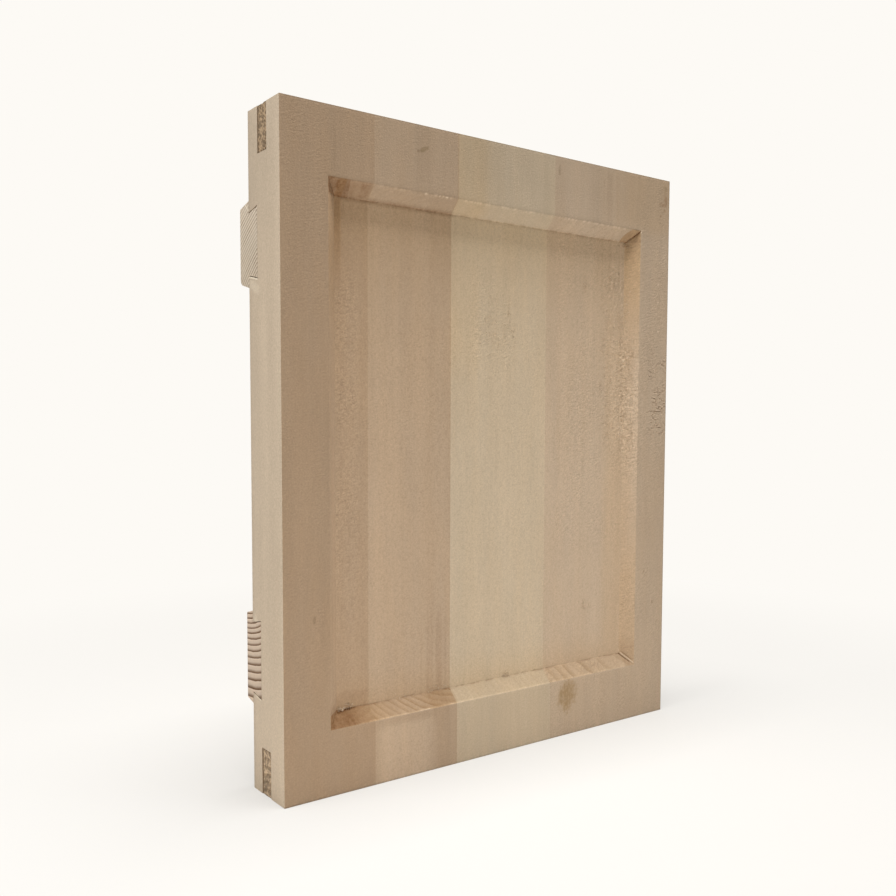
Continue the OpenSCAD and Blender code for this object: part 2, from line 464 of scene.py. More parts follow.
def lime_marks(tree, spot, colour, height):
    """Burns and painted shade, torn wood and painted highlights, warmth and raised grain, from the mesh's
    marks.
    """
    source = add(tree, "ShaderNodeAttribute", {}, attribute_name="marks")
    # Red carries burns and painted shade, green fresh wood and painted highlights.
    burn_and_shade, torn, warm = separate(tree, source.outputs["Color"])
    raised = source.outputs["Alpha"]
    across, _, up = board_place(tree, spot)
    leaning = combine(tree, across, 0.0, calc(tree, "MULTIPLY_ADD", across, -RIPPLE_LEAN, up))
    ripples = cloud(tree, leaning, RIPPLE_CELL, 2)
    speckle = cloud(tree, spot["grain"], SPECKLE_CELL, 2)
    bare = change(tree, torn, *BARE_RANGE)
    torn = product(tree, torn, change(tree, speckle, 0.25, 0.6, 0.5, 1.0))
    burn_and_shade = product(tree, burn_and_shade, change(tree, speckle, 0.2, 0.7, 1.1, 0.75))
    fuzzy = cloud(tree, spot["grain"], FUZZ_CELL, 1)
    ruffle = total(tree, swing(tree, ripples, 0.5), swing(tree, fuzzy, 0.5))
    ruffle = product(tree, calc(tree, "MINIMUM", raised, RUFFLE_LIMIT), ruffle)
    colour = vector(tree, "SCALE", colour, total(tree, 1.0, ruffle))
    colour = mix(tree, warm, colour, vector(tree, "MULTIPLY", colour, WARM_GAIN))
    colour = mix(tree, torn, colour, vector(tree, "MULTIPLY", colour, FRESH_GAIN))
    colour = mix(tree, bare, colour, BARE_WOOD)
    colour = mix(tree, burn_and_shade, colour, BURNT_AND_SHADED_WOOD)
    rough = product(tree, calc(tree, "ADD", torn, burn_and_shade), speckle, 1.6)
    standing = total(tree, product(tree, ripples, 7.0), product(tree, fuzzy, 2.5))
    return colour, total(tree, height, rough, product(tree, raised, standing))


print("marks: red scorch, green torn, blue warm, alpha raised grain")

# %% [markdown]
# Two more layers belong to the left side, where the battens and splines show their ends. Fitting the
# battens broke pale lips of wood out along the grooves; the pale strokes are partly that torn wood and
# partly a painted highlight where a groove's lower wall catches the light. The rim round each spline's
# end is painted shade, dark and uneven, where the spline meets the saw cut.

# %% Layers of the side
LIP_AND_HIGHLIGHT_COLOUR = (0.85, 0.77, 0.62, 1)
LIP_CELL = (1.2, 1.2, 1.2)
LIP_EDGE = (0.5, 1.4)
RIM_CELL = (1.6, 1.2, 1.6)
RIM_WIDTH = 0.9
PORE_CELL = (9, 1.3, 1.5)


def pale_lips_and_highlights(*strokes):
    """Pale strokes on the left side, partly torn wood and partly painted highlight: strokes of start, end,
    half width and cover, whose places are board millimetres back and up."""
    def layer(tree, spot, colour, height):
        _, back, up = board_place(tree, spot)
        at_side = change(tree, spot["place"][0], left_x + 0.4, left_x + 0.8, 1.0, 0.0)
        broken = change(tree, cloud(tree, spot["point"], LIP_CELL, 2), 0.3, 0.6, 0.5, 1.0)
        for start, end, half, cover in strokes:
            run = Vector((end[0] - start[0], end[1] - start[1], 0))
            unit = run.normalized()
            off = vector(tree, "SUBTRACT", combine(tree, back, up, 0.0), (*start, 0))
            along = vector(tree, "DOT_PRODUCT", off, tuple(unit))
            aside = calc(tree, "ABSOLUTE", vector(tree, "DOT_PRODUCT", off, (-unit.y, unit.x, 0)))
            within = product(tree, change(tree, along, -half, half),
                             change(tree, along, run.length - half, run.length + half, 1.0, 0.0))
            line = change(tree, aside, *(half * edge for edge in LIP_EDGE), cover, 0.0)
            line = product(tree, within, at_side, broken, line)
            # Each stroke is partly pale torn wood and partly a painted highlight.
            colour = mix(tree, line, colour, LIP_AND_HIGHLIGHT_COLOUR)
        return colour, height
    return layer


def pores_and_rim_shade(node):
    """Open, dark pores in the ends of a spline, and painted shade in an uneven rim round them."""
    low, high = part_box(node)

    def layer(tree, spot, colour, height):
        _, back, up = spot["place"]
        distances = [calc(tree, "SUBTRACT", back, low.y / MM), calc(tree, "SUBTRACT", high.y / MM, back),
                     calc(tree, "SUBTRACT", up, low.z / MM), calc(tree, "SUBTRACT", high.z / MM, up)]
        nearest = distances[0]
        for distance in distances[1:]:
            nearest = calc(tree, "MINIMUM", nearest, distance)
        ragged = swing(tree, cloud(tree, spot["point"], RIM_CELL, 3), 2.2)
        # Painted shade: the end darkens towards its rim, where it meets the gap round the spline.
        tone = change(tree, total(tree, nearest, ragged), 0.0, RIM_WIDTH, 0.5, 1.0)
        pores = change(tree, cloud(tree, spot["point"], PORE_CELL, 3), 0.44, 0.56, 0.55, 1.08)
        return vector(tree, "SCALE", colour, product(tree, tone, pores)), total(tree, height, pores)
    return layer


print("layers of the side ready")

# %% [markdown]
# Now each piece gets its own tree. The staves are lime, with piths far behind the board, so that their
# rings hardly show on the front but cross the end grain of the lower slope as slanting stripes. A knot is
# given by its place, its half sizes and how much it covers, and, if it needs them, its turn and colour.

# %% Finishes
LIME_GRAIN = [((0.85, 0.85, 0.7), 0.34, 1.6), ((0.6, 0.6, 9), 0.1, 0.2),
              ((7, 7, 170), 0.14, 0), ((15, 15, 38), 0.12, 0)]
LIME_RINGS = {"wander": 3.0, "wobble": 1.6, "width": 2.4, "late_from": 0.25, "vary": 0.5,
              "end_dark": 0.27, "other_way": 0.55}
OLIVE = (0.20, 0.14, 0.06)
RED_BROWN = (0.24, 0.13, 0.065)
SOFT_BROWN = (0.34, 0.225, 0.105)


def lime(name, pith, light, dark, contrast, layers=(), **rings):
    """A limewood finish, with its pith in board millimetres across and back from the front."""
    pith = (pith[0] + left_x, pith[1] + front_mm)
    return wood(name, "Z", pith, {**LIME_RINGS, **rings}, light, dark, contrast, LIME_GRAIN, layers)


finishes = {
    "left_stave": lime(
        "lime_tan", (20, 96), (0.418, 0.298, 0.199), (0.32, 0.21, 0.12), (0.04, 0.45),
        [pale_side, shading(0, joints[0], 1.0, 1.02, 0.945, 90),
         knots(((15, 80), (0.8, 2.0), 0.3), ((26, 284), (0.8, 12), 0.1)), dark_edge_line, lime_marks,
         pale_lips_and_highlights(((21.6, 227.1), (30, 228.9), 0.35, 0.7), ((20, 222), (30, 226.5), 2.0, 0.22),
                    ((21.6, 41.9), (28, 43.5), 0.35, 0.5), ((24, 75), (28, 79), 1.6, 0.2))]),
    "inner_left_stave": lime(
        "lime_brown", (103, 64), (0.456, 0.337, 0.234), (0.29, 0.18, 0.09), (0.04, 0.95),
        [shading(joints[0], joints[1], 1.04, 0.955, 0.92),
         knots(((72.3, 289.3), (3.4, 1.1), 0.6, 32, OLIVE), ((69.4, 288.2), (1.0, 0.7), 0.4)),
         dark_edge_line, lime_marks], wobble=1.8, vary=0.85, width=2.5),
    "inner_right_stave": lime(
        "lime_pale", (300, 70), (0.53, 0.427, 0.308), (0.45, 0.345, 0.225), (0.05, 0.3),
        [shading(joints[1], joints[2], 0.985, 1.02, 0.89), dark_edge_line, lime_marks], width=3.6),
    "right_stave": lime(
        "lime_grey", (262, 60), (0.507, 0.39, 0.282), (0.36, 0.255, 0.155), (0.04, 0.9),
        [pale_side, shading(joints[2], board_w, 1.0, 0.97, 0.9),
         knots(((165.6, 21.4), (6.8, 8.9), 0.8, -14, SOFT_BROWN),
               ((236.9, 289.2), (1.5, 3.6), 0.42, 0, RED_BROWN),
               ((234.2, 286.2), (2.8, 1.2), 0.45, -8, RED_BROWN),
               ((236.0, 283.2), (0.8, 0.9), 0.45, 0, RED_BROWN),
               ((233.0, 279.8), (0.7, 0.7), 0.45, 0, RED_BROWN),
               ((236.4, 294.8), (1.5, 2.4), 0.28, 0, OLIVE),
               ((156.6, 293.0), (0.9, 3.5), 0.4), ((231.0, 64.0), (0.7, 1.4), 0.5),
               ((224.0, 82.0), (0.6, 1.2), 0.4)),
         dark_edge_line, lime_marks], width=5.2, vary=0.9, wobble=3.6),
}
print("staves:", ", ".join(material.name for material in finishes.values()))

# %% [markdown]
# The fibres of the splines and the battens run across the board, so its side shows all four as end grain.
# Where the pith lies and how wide the rings are gives each end its own arcs. The battens are pine: one
# slow grown, with faint rings in bands, the other fast grown, with bold dark arcs.

# %% Finishes of splines and battens
DARK_GRAIN = [((1.1, 1.5, 9), 0.5, 1.0), ((0.7, 0.8, 4), 0.3, 0.6), ((3, 2.2, 40), 0.45, 0)]
PINE_GRAIN = [((1.0, 1.0, 1.5), 0.16, 0.6), ((0.5, 0.5, 5), 0.2, 0.4),
              ((2.5, 2.5, 60), 0.14, 0.2), ((9, 9, 200), 0.12, 0)]
finishes["top_spline"] = wood(
    "dark_hardwood", "X", (-14 + front_mm, 342),
    {"wander": 4.0, "width": 1.3, "late_from": 0.3, "fade": 0.8, "wobble": 2.0},
    (0.37, 0.265, 0.168), (0.15, 0.10, 0.055), (0.3, 0.6), DARK_GRAIN, [pores_and_rim_shade("top_spline")])
finishes["bottom_spline"] = wood(
    "dark_hardwood_low", "X", (-15, -60),
    {"wander": 5.0, "width": 3.4, "late_from": 0.35, "fade": 0.3, "wobble": 2.5},
    (0.47, 0.35, 0.235), (0.18, 0.115, 0.06), (0.4, 0.6), DARK_GRAIN, [pores_and_rim_shade("bottom_spline")])
finishes["upper_batten"] = wood(
    "pine_fine", "X", (-25 + front_mm, 166),
    {"wander": 1.2, "width": 1.6, "fade": 0.35, "strong": ((80, 88), (98, 107)), "weak": 0.6, "glow": 0.45},
    (0.503, 0.432, 0.348), (0.19, 0.14, 0.095), (0.35, 1.0), PINE_GRAIN,
    [pale_lips_and_highlights(((29.6, 257.1), (33.1, 260.4), 0.35, 0.45))])
finishes["lower_batten"] = wood(
    "pine_coarse", "X", (38 + front_mm, 114),
    {"wander": 0.8, "first": 33.6, "width": 1.87, "growth": 0.0553, "late_from": 0.42, "vary": 0.15,
     "wobble": 0.9, "glow": 0.16},
    (0.51, 0.408, 0.322), (0.10, 0.046, 0.016), (0.55, 1.0), PINE_GRAIN)
print("splines and battens:", ", ".join(finishes[name].name for name in list(finishes)[len(STAVES):]))

# %% [markdown]
# The front is a height field: at every point across and up there is one depth. The field's slope is the
# distance in from the border, held between nothing and the full depth, and a soft corner rounds its
# edges as a scraper does. These helpers describe shapes on that field, in board millimetres.

# %% Helpers for the front
EASE = 0.2
ARRIS = 0.3
FAR = 999


def smooth(x):
    """A smooth step from 0 at 0 to 1 at 1."""
    return x * x * (3 - 2 * x)


def between(t, low, high, soft):
    """1 between two values, falling smoothly to 0 within soft outside them."""
    return smooth(np.clip((t - low) / soft + 1, 0, 1)) * smooth(np.clip((high - t) / soft + 1, 0, 1))


def area(u, v, across, up, strength=1.0):
    """A soft area of the front, from its two runs of (start, end, softness) and its strength."""
    return strength * between(u, *across) * between(v, *up)


def areas(u, v, table):
    """All areas of a table."""
    return [area(u, v, *row) for row in table.values()]


def profile(t, *points):
    """A value that runs evenly from point to point, each given as a place and its value."""
    return np.interp(t, *zip(*points))


def bell(t, width):
    """1 at zero, falling to 0 on both sides."""
    return np.exp(-((t / width) ** 2))


def inside(u, v):
    """Distance in from the border's inner edge, negative on the border."""
    return np.minimum.reduce([u - field_l, field_r - u, v - field_b, field_t - v])


def slope_depth(distance):
    """Depth of the sunk field, with softened edges."""
    def soft(t):
        return (t + np.sqrt(t * t + ARRIS * ARRIS)) / 2
    return (soft(distance) - soft(distance - bevel_w)) * field_depth / bevel_w


print(f"slope at half width {slope_depth(np.array([bevel_w / 2]))[0]:.2f} mm deep")

# %% [markdown]
# Nothing on wood is quite regular, so the other helpers bring in chance. A table of random numbers with a
# fixed seed is the same on every run, and smooth steps between its numbers make a soft noise. A line drawn
# with that noise wavers and breaks.

# %% Noise and lines
NOISE_SIZE = (97, 89)


def grain_noise(u, v, size_u, size_v, seed):
    """Smooth random values from 0 to 1 with cells of the given size in millimetres."""
    table = np.random.default_rng(seed).uniform(0, 1, NOISE_SIZE)
    a, b = u / size_u, v / size_v
    i, j = np.floor(a).astype(int), np.floor(b).astype(int)
    s, t = smooth(a - i), smooth(b - j)

    def corner(di, dj):
        return table[(i + di) % NOISE_SIZE[0], (j + dj) % NOISE_SIZE[1]]

    low = corner(0, 0) * (1 - s) + corner(1, 0) * s
    high = corner(0, 1) * (1 - s) + corner(1, 1) * s
    return low * (1 - t) + high * t


def noise_along(u, size, seed):
    """Smooth random values that change only across the board."""
    return grain_noise(u, np.zeros_like(u), size, 1, seed)


def clumps(u, v, grain, gain, less):
    """The peaks of a noise, given as two cell sizes and a seed: multiplied, lowered and held to 0 to 1."""
    return np.clip(gain * grain_noise(u, v, *grain) - less, 0, 1)


def near_line(u, v, start, end, width):
    """1 on the line between two points, falling to 0 beside it."""
    du, dv = end[0] - start[0], end[1] - start[1]
    along = np.clip(((u - start[0]) * du + (v - start[1]) * dv) / (du * du + dv * dv), 0, 1)
    return bell(np.hypot(u - start[0] - along * du, v - start[1] - along * dv), width)


def dotted(u, v, level, width, seed):
    """A thin, wavering and broken line across the board at a level."""
    wave = 0.3 * (noise_along(u, 3.7, seed) - 0.5)
    gaps = np.clip(1.5 * noise_along(u, 1.7, seed + 1) - 0.1, 0, 1)
    return gaps * bell(v - level - wave, width)


noise_u = np.arange(0, board_w, 0.5)
print(f"noise runs from {noise_along(noise_u, 3, 1).min():.2f} to {noise_along(noise_u, 3, 1).max():.2f}")

# %% [markdown]
# Tears, slits and chips are small functions of the place, so each of them can be read, moved or removed
# on its own. They are added to the field's depth, and the same functions colour the marks later, with
# painted shade that makes a slit dark exactly where it is deep.

# %% Slits and cracks
CHIP_RUNS = ((36, 62, 2, 0.5), (67, 87, 3, 1.0), (94, 150, 4, 0.6), (156, 204, 4, 0.8))
CHIP_GRAIN = (0.8, 3, 11)
PATCH_MIDDLE = 213.5
PATCH_HALF = (7.2, 6.4)


def chips(u, v):
    """Broken fibres along the upper edge of the top slope."""
    runs = sum(strength * between(u, start, end, soft) for start, end, soft, strength in CHIP_RUNS)
    return 0.7 * runs * bell(v - field_t + 0.2, 0.5) * clumps(u, v, CHIP_GRAIN, 3.0, 1.3)


def corner_slit(u, v):
    """The ragged slit along the floor in the lower left corner."""
    wave = 0.8 * (noise_along(u, 2.3, 21) - 0.5)
    return near_line(u, v - wave, (floor_l + 0.2, floor_b - 0.7), (floor_l + 6.6, floor_b - 0.4), 0.2)


def upper_mitre_slit(u, v):
    """A knife cut along the mitre in the upper right corner, deep at its outer end."""
    middle = ((floor_r + field_r) / 2, (floor_t + field_t) / 2 - 0.5)
    deep = near_line(u, v, middle, (field_r + 0.2, field_t - 0.3), 0.22)
    shallow = 0.4 * near_line(u, v, (floor_r + 0.4, floor_t - 0.2), middle, 0.26)
    return np.maximum(deep, shallow)


def lower_mitre_crack(u, v):
    """Two cracks beside the mitre in the lower right corner, the lower one deeper."""
    below = near_line(u, v, (floor_r - 0.2, floor_b - 0.2), (field_r - 2.0, field_b + 1.5), 0.22)
    above = 0.5 * near_line(u, v, (floor_r + 1.0, floor_b + 0.9), (field_r - 1.0, field_b + 2.8), 0.2)
    return np.maximum(below, above)


def lower_mitre_sliver(u, v):
    """The pale sliver between the two cracks, and a short one up the floor's edge."""
    long = near_line(u, v, (floor_r + 0.4, floor_b + 0.3), (field_r - 0.6, field_b + 1.2), 0.48)
    short = 0.8 * near_line(u, v, (floor_r - 0.5, floor_b + 0.5), (floor_r - 0.5, floor_b + 2.3), 0.3)
    return np.maximum(long, short)


def floor_lines(u, v):
    """The thin grooves that the cutter left along the floor, under the top slope and above the bottom one.
    """
    top = 0.42 * dotted(u, v, floor_t - 0.2, 0.4, 32)
    bottom = 0.55 * dotted(u, v, floor_b + 0.1, 0.3, 34)
    return between(u, floor_l, floor_r, 0.6) * (top + bottom)


def corner_patch(u, v):
    """The rounded brown patch on the top slope's right end."""
    reach = np.hypot((u - PATCH_MIDDLE) / PATCH_HALF[0], (v - floor_t) / PATCH_HALF[1])
    return between(reach, 0, 0.92, 0.1) * between(v, floor_t, field_t, 0.3)


slit_u, slit_v = np.array([floor_l + 3.0]), np.array([floor_b - 0.5])
print(f"slit in the lower left corner {corner_slit(slit_u, slit_v)[0]:.2f} strong")

# %% [markdown]
# Some wood is rough over a whole area: the slope and the border on the right, where the grain rose against
# the cutter, and parts of the floor. A soft area says where, and noise in cells as small as the tears says
# how. The last function adds everything up to the depth of the front.

# %% Torn wood and depth
TORN_SLOPE = ((floor_r - 2.5, field_r - 1.5, 1.5), (154, 198, 24))
TORN_BORDER = ((226, 238.5, 2), (163, 198, 10))
TEAR_GRAIN = (0.6, 0.8, 41)
FUZZ_GRAIN = (1.0, 0.9, 42)
RIPPLE_GRAIN = (7, 22, 43)
STREAK_GRAIN = (1.3, 60, 53)
FLECKS = ((231.9, 232.2, 1.0), (232.3, 216.2, 0.7), (231.7, 242.1, 0.7))
FUZZY = {
    "right": ((197, floor_r, 6), (150, 250, 18)),
    "middle": ((108, 132, 8), (203, 228, 12), 0.7),
    "lower": ((180, 192, 4), (56, 68, 4), 0.8),
    "left": ((30, 44, 3), (60, 200, 40), 0.5)}
STREAKY = {
    "second joint": ((77, joints[1] - 1, 3), (floor_b, 62, 22)),
    "upper right": ((192, 207, 5), (242, floor_t, 8), 0.7),
    "top border": ((182, 202, 8), (field_t + 4, 294, 6), 0.6)}
TORN_RELIEF, FUZZ_RELIEF, RIPPLE_RELIEF = 0.58, 0.26, 0.05


def torn_slope(u, v):
    """Where the right slope's fibres were torn, a little more in some places than in others."""
    return area(u, v, *TORN_SLOPE, clumps(u, v, (3.2, 4.6, 74), 0.9, -0.35))


def border_tears(u, v):
    """Short, curling tears in the right border, where the plane lifted the grain."""
    lifted = grain_noise(u + 0.5 * v, v, 2.3, 1.5, 72)
    return area(u, v, *TORN_BORDER) * clumps(u, v, (5, 6, 73), 2.4, 0.6) * bell(lifted - 0.55, 0.09)


def border_tear_highlights(u, v):
    """Painted highlights on the lit upper lips of those tears."""
    return border_tears(u + 0.2, v - 0.6)


def border_flecks(u, v):
    """Three small flecks of bare wood in the right border."""
    return sum(size * np.exp(-(((u - a) / 0.6) ** 2) - ((v - b) / 0.8) ** 2) for a, b, size in FLECKS)


def fuzz(u, v):
    """Where the floor's fibres stand up."""
    return (inside(u, v) > bevel_w + 0.3) * np.clip(sum(areas(u, v, FUZZY)), 0, 1)


def streaks(u, v):
    """Faint brown streaks along the grain, near the second joint and near the right corners."""
    return sum(areas(u, v, STREAKY)) * clumps(u, v, STREAK_GRAIN, 2.6, 0.9)


RELIEF = {floor_lines: 0.4, chips: 0.25, border_tears: 0.4, corner_slit: 0.6, upper_mitre_slit: 0.45,
          lower_mitre_crack: 0.6, lower_mitre_sliver: -0.25}


def front_depth(u, v):
    """Depth below the front, in millimetres, at a place on the board."""
    depth = slope_depth(inside(u, v))
    for shape, amount in RELIEF.items():
        depth = depth + amount * shape(u, v)
    depth = depth + TORN_RELIEF * torn_slope(u, v) * (0.5 - grain_noise(u, v, *TEAR_GRAIN))
    depth = depth + FUZZ_RELIEF * fuzz(u, v) * (0.5 - grain_noise(u, v, *FUZZ_GRAIN))
    ripple = RIPPLE_RELIEF * (grain_noise(u, v, *RIPPLE_GRAIN) - 0.5)
    return np.maximum(depth + ripple * between(inside(u, v), 0, FAR, 4), 0)


print(f"depth at the middle {front_depth(np.array([120.0]), np.array([150.0]))[0]:.2f} mm")

# %% [markdown]
# The four marks say where the front was burnt, torn, tinted and ruffled. Most of a mark is a table of
# soft areas, each with its name, its run across, its run up and its strength. A burn is strongest where
# the cutter stood still, in the corners, and fades along its way. The first mark also holds painted
# shade: in slits, cracks and tears, along the floor lines and on the floor just under the top slope.

# %% Scorch and painted shade
TOP_BAND = (floor_t - 0.4, field_t + 0.1, 0.35)
LOW_BAND = (field_b - 0.1, floor_b + 0.3, 0.35)
LEFT_BAND = (field_l + 0.1, floor_l + 0.3, 0.35)
RIGHT_BAND = (floor_r - 0.2, field_r - 0.1, 0.35)
BURNT = {
    "left slope, high": (LEFT_BAND, (268, 275, 16), 0.2),
    "left floor edge": ((floor_l + 0.2, floor_l + 2.4, 0.9), (262, 270, 56), 0.34),
    "right slope, high": (RIGHT_BAND, (264, 275, 13), 0.2),
    "bottom slope, left": ((field_l - 0.2, 33, 14), LOW_BAND, 0.88),
    "left slope, low": (LEFT_BAND, (20, 34, 9), 0.5),
    "lower left floor": ((floor_l, 44, 2), (floor_b, floor_b + 7, 1.5), 0.16),
    "right slope, low": (RIGHT_BAND, (20, 38, 10), 0.2)}
BLOTCHED = {
    "patch on the top slope": ((41, 44.3, 1.2), (floor_t + 1, field_t - 1, 1.5), 0.36, 0.2),
    "top slope, left": ((35, 45, 1.2), TOP_BAND, 0.22, 0.2),
    "upper right specks": ((206, 212, 1.5), (261.5, 264.6, 0.6), 0.0, 0.5)}
UPPER_LEFT = ((24, 0.92), (35, 0.72))
UNDER_TOP_SHADE = ((29, 0.38), (92, 0.44), (94, 0.08), (211, 0.08))
SLIT_SHADE_AND_STREAKS = {floor_lines: 0.75, corner_slit: 0.9, border_tears: 0.32, upper_mitre_slit: 0.85,
        lower_mitre_crack: 0.8, streaks: 0.15}


def burn_and_shade_marks(u, v):
    """Red-brown burns at the field's corners, painted shade in slits, cracks, tears and under the top slope.
    """
    grit = 0.75 + 0.35 * (grain_noise(u, v, 1.3, 1.6, 51) - 0.3)
    blotch = clumps(u, v, (2.6, 2.2, 52), 2.4, 0.7)
    slanted = between(u + 0.3 * (v - floor_t), field_l + 0.6, 35.6, 0.5)
    burnt = np.maximum.reduce([
        *areas(u, v, BURNT),
        *(area(u, v, across, up, plain + more * blotch) for across, up, plain, more in BLOTCHED.values()),
        slanted * between(v, *TOP_BAND) * profile(u, *UPPER_LEFT),
        # Painted shade on the floor just under the top slope.
        profile(u, *UNDER_TOP_SHADE) * between(v, floor_t - 0.8, floor_t, 1.6),
        0.6 * between(u, field_l, 37, 4) * bell(v - field_b - 0.6, 0.35),
        0.4 * corner_patch(u, v)])
    # Painted shade in slits, cracks, tears, floor lines and pits among torn fibres, and faint brown streaks.
    shade_and_streaks = sum(strength * shape(u, v) for shape, strength in SLIT_SHADE_AND_STREAKS.items())
    shade_and_streaks = shade_and_streaks + 0.2 * torn_slope(u, v) * clumps(u, v, TEAR_GRAIN, -4.0, -1.3)
    return np.clip(burnt * grit * between(inside(u, v), 0, FAR, 0.3) + shade_and_streaks, 0, 1)


def cover(mark):
    """Prints how much of the front a mark covers."""
    u, v = np.meshgrid(np.arange(0, board_w, 2.0), np.arange(0, board_h, 2.0))
    print(f"{mark.__name__} cover {mark(u, v).mean():.3f} of the front on average")


cover(burn_and_shade_marks)

# %% [markdown]
# Fresh wood is pale, and the floor is fresher than the border, which hands have touched. A profile suits a
# long place such as a slope: a few points along it with a value each, and straight runs between them.
# Where several descriptions meet, the palest one wins. This mark also holds painted highlights along the
# bottom slope's lower arris and on the lips of the border's tears.

# %% Fresh wood and painted highlights
FLOOR_FRESH = ((60, 0.33), (100, 0.37), (200, 0.37), (240, 0.25), (257, 0.48))
LEFT_FRESH = ((60, 0.3), (150, 0.3), (240, 0.05), (258, 0.5))
RIGHT_FRESH = ((60, 0.14), (120, 0.25), (180, 0.58), (205, 0.27), (240, 0.14), (270, 0.14))
LOW_FRESH = ((47, 0.12), (58, 0.14), (62, 0.27), (72, 0.27), (78, 0), (92, 0), (93, 0.18), (170, 0.18),
             (180, 0.1), (195, 0.1), (200, 0.18), (214, 0.18))
LOW_ARRIS_HIGHLIGHT = ((31, 0), (38, 1), (92, 1), (96, 0.75), (212, 0.6), (214, 0))
BORDER_FRESH = {
    "below the field": ((54, 72, 12), (-5, 24, 4), 0.42),
    "above, right stave": ((166, 184, 8), (274, 296, 4), 0.09),
    "above, second stave": ((80, 91, 6), (274, 298, 4), 0.11),
    "above, third stave": ((128, 152, 14), (274, 298, 4), 0.06)}
PALE = {
    "top slope, right": ((166, 200, 4), (floor_t, field_t, 0.3), 0.12),
    "right border": ((field_r, board_w, 0.2), (165, 215, 25), 0.1)}
# The tears' lips are painted highlights; chips, slivers and flecks are pale wood.
FRESH_AND_HIGHLIGHT_SHAPES = {chips: 1.4, border_tear_highlights: 0.65, lower_mitre_sliver: 1.0, border_flecks: 1.0}
LEFT_JOINT_LIFT = 0.04


def pale_and_highlight_marks(u, v):
    """Pale wood: fresh floor and slopes, chips, torn fibres, slivers; painted highlights on arris and lips.
    """
    on_floor = between(inside(u, v), bevel_w + 0.2, FAR, 0.6)
    beside = between(v, field_b, field_t, 0.2)
    low = (inside(u, v) > -0.01) * between(v, field_b, floor_b, 0.2)
    # A painted highlight along the bottom slope's lower arris, where it catches the light from above.
    arris_highlight = bell(v - field_b - 0.1, 0.32) * profile(u, *LOW_ARRIS_HIGHLIGHT)
    slit_fibres = area(u, v, (floor_l + 0.3, floor_l + 6, 1), (floor_b - 0.2, floor_b + 1.1, 0.5))
    fresh = np.maximum.reduce([
        on_floor * (profile(v, *FLOOR_FRESH) + LEFT_JOINT_LIFT * (u < joints[0])),
        beside * between(u, field_l, floor_l, 0.2) * profile(v, *LEFT_FRESH),
        beside * between(u, floor_r, field_r, 0.2) * profile(v, *RIGHT_FRESH),
        low * profile(u, *LOW_FRESH),
        arris_highlight * (0.45 + 0.6 * noise_along(u, 2.3, 45)),
        sum(areas(u, v, BORDER_FRESH)),
        *areas(u, v, PALE),
        *(strength * shape(u, v) for shape, strength in FRESH_AND_HIGHLIGHT_SHAPES.items()),
        on_floor * area(u, v, (203, floor_r, 5), (158, 205, 20), 0.55),
        0.8 * torn_slope(u, v) * clumps(u, v, TEAR_GRAIN, 5.0, 2.9),
        0.65 * fuzz(u, v) * clumps(u, v, FUZZ_GRAIN, 3.6, 2.3),
        0.9 * near_line(u, v, (field_r + 0.2, field_t - 1.0), (field_r + 0.9, field_t - 0.2), 0.4),
        slit_fibres * clumps(u, v, (1.0, 1.2, 44), 3.0, 0.8)])
    return np.clip(fresh, 0, 1)


cover(pale_and_highlight_marks)

# %% [markdown]
# The last two marks work in the same way. The wood turns warmer towards the upper and the right edges of
# the field, and the grain stands up most on the right, where the board was scraped against it.

# %% Warm wood and raised grain
FLOOR_WARM = ((37, 0.42), (44, 0.25), (52, 0.05), (150, 0.08), (200, 0.2), (220, 0.2), (240, 0.35),
              (257, 0.6), (264, 0.6))
RIGHT_WARM = ((80, 0.5), (100, 0.25), (130, 0.15), (200, 0.1), (235, 0.8), (255, 1.0))
LEFT_WARM = ((200, 0.0), (240, 0.5), (270, 0.5))
LOW_WARM = ((24, 1.0), (46, 0.9), (60, 0.5), (72, 0.5), (80, 0.9), (92, 0.9), (93, 0.4), (153, 0.4),
            (154, 0.6), (212, 0.4))
WARM = {
    "right floor edge": ((200, floor_r, 8), (floor_b, floor_t, 0.5), 0.35),
    "top slope, left": ((field_l, 46, 0.5), (floor_t, field_t, 0.3), 0.2),
    "left floor edge": ((floor_l, floor_l + 3, 1), (262, 270, 56))}
JOINT_WARM = ((joints[1], joints[1] + 14, 9), (205, 320, 35), 0.45)
CORNER_WARM = ((212, 250, 30), (275, 320, 10), 0.35)
RAISED = {
    "left floor": ((floor_l + 1, floor_l + 10, 4), (90, 215, 40), 0.9),
    "middle": ((108, 128, 8), (200, 232, 14), 0.8),
    "right floor": ((165, floor_r, 12), (110, 258, 30), 0.8),
    "right slope": ((floor_r, field_r, 0.5), (field_b, field_t, 0.5), 0.9),
    "bottom slope": ((joints[2], floor_r, 1), (field_b, floor_b, 0.3), 0.95),
    "bottom border": ((joints[2], field_r, 1), (0, field_b - 1, 1), 0.7)}
BORDER_RAISED = ((30, 0.85), (140, 0.85), (160, 1.05), (205, 1.05), (230, 0.9))
LEFT_RAISED = ((field_l - 1, 0.48), (field_l, 0.34))
RAISED_LIMIT = 1.8


def warm_marks(u, v):
    """Yellower wood on the right slope, low and high on the floor, and in the burnt corners."""
    on_floor = between(inside(u, v), bevel_w + 0.2, FAR, 0.4)
    warm = np.maximum.reduce([
        on_floor * profile(v, *FLOOR_WARM),
        between(u, floor_r - 0.2, field_r, 0.5) * profile(v, *RIGHT_WARM),
        between(u, field_l, floor_l, 0.3) * profile(v, *LEFT_WARM),
        between(v, field_b, floor_b, 0.3) * profile(u, *LOW_WARM),
        *areas(u, v, WARM),
        corner_patch(u, v)])
    joint = area(u, v, *JOINT_WARM) * (u > joints[1] - 0.01)
    in_field = between(inside(u, v), 0, FAR, 0.3)
    return np.clip(np.maximum(joint + area(u, v, *CORNER_WARM), in_field * warm), 0, 1)


